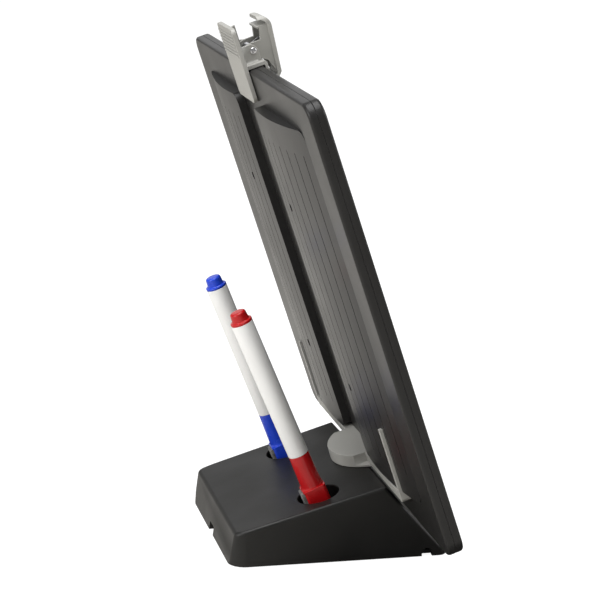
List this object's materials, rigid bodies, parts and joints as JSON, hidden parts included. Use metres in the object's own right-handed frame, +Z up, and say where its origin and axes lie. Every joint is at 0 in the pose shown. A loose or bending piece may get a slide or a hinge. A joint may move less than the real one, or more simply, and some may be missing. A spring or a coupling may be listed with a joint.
{
  "type": "desk whiteboard easel",
  "caption": "Magnetic whiteboard leaning on a weighted wedge stand, with a spring clip on its top edge and capped markers standing in pockets behind it.",
  "frame": {"origin": "middle of the stand's footprint, on the table under its rubber feet", "axes": "+Z up; +X to the right seen from the writing side, along the board's width; the writing face looks along -Y and up; the markers stand on the +Y side"},
  "size_m": [0.279, 0.112, 0.2725],
  "materials": {
    "black_plastic": "matte",
    "dark_plastic": "matte",
    "satin_black_plastic": "satin",
    "grey_plastic": "satin",
    "plain_steel": "satin",
    "bright_steel": "polished",
    "black_rubber": "matte",
    "white_enamel": "gloss",
    "brown_panel": "matte",
    "white_plastic": "satin",
    "blue_plastic": "gloss",
    "red_plastic": "gloss",
    "blue_fibre": "matte",
    "red_fibre": "matte",
    "grey_felt": "matte",
    "white_fibre": "matte"
  },
  "bodies": {
    "stand": {"base_shell": "black_plastic", "base_floor": "dark_plastic", "ballast_plate": "plain_steel", "base_feet": "black_rubber", "base_screws": "plain_steel"},
    "board": {"support_bracket": "grey_plastic", "bracket_screws": "plain_steel", "back_shell": "satin_black_plastic", "front_frame": "satin_black_plastic", "whiteboard_sheet": "white_enamel", "core_panel": "brown_panel", "shell_screws": "plain_steel"},
    "clip": {"clip_body": "grey_plastic", "clip_pin": "bright_steel", "clip_spring": "bright_steel"},
    "lever": {"clip_lever": "grey_plastic"},
    "blue_cap_body": {"blue_cap": "blue_plastic", "blue_eraser": "grey_felt"},
    "blue_pen_body": {"blue_barrel": "white_plastic", "blue_end_plug": "blue_plastic", "blue_nib_holder": "white_plastic", "blue_nib": "blue_fibre", "blue_ink_core": "white_fibre"},
    "red_cap_body": {"red_cap": "red_plastic", "red_eraser": "grey_felt"},
    "red_pen_body": {"red_barrel": "white_plastic", "red_end_plug": "red_plastic", "red_nib_holder": "white_plastic", "red_nib": "red_fibre", "red_ink_core": "white_fibre"}
  },
  "joints": [
    {"name": "board_lift_out", "type": "slide", "parent": "stand", "child": "board", "axis": [0, 0.2641, 0.9645], "range_m": [0, 0.02]},
    {"name": "clip_lift_off", "type": "slide", "parent": "board", "child": "clip", "axis": [0, 0.3107, 0.9505], "range_m": [0, 0.025]},
    {"name": "lever_squeeze", "type": "hinge", "parent": "clip", "child": "lever", "pos_m": [0, 0.03486, 0.25555], "axis": [-1, 0, 0], "range_deg": [0, 22], "stiffness_Nm_per_rad": 0.1, "springref_deg": -22.92, "deforming": ["clip_spring"]},
    {"name": "blue_marker_lift_out", "type": "slide", "parent": "stand", "child": "blue_cap_body", "axis": [0, 0.365, 0.931], "range_m": [0, 0.04]},
    {"name": "blue_pen_pull_out", "type": "slide", "parent": "blue_cap_body", "child": "blue_pen_body", "axis": [0, 0.365, 0.931], "range_m": [0, 0.04]},
    {"name": "red_marker_lift_out", "type": "slide", "parent": "stand", "child": "red_cap_body", "axis": [0, 0.3812, 0.9245], "range_m": [0, 0.04]},
    {"name": "red_pen_pull_out", "type": "slide", "parent": "red_cap_body", "child": "red_pen_body", "axis": [0, 0.3812, 0.9245], "range_m": [0, 0.04]}
  ]
}
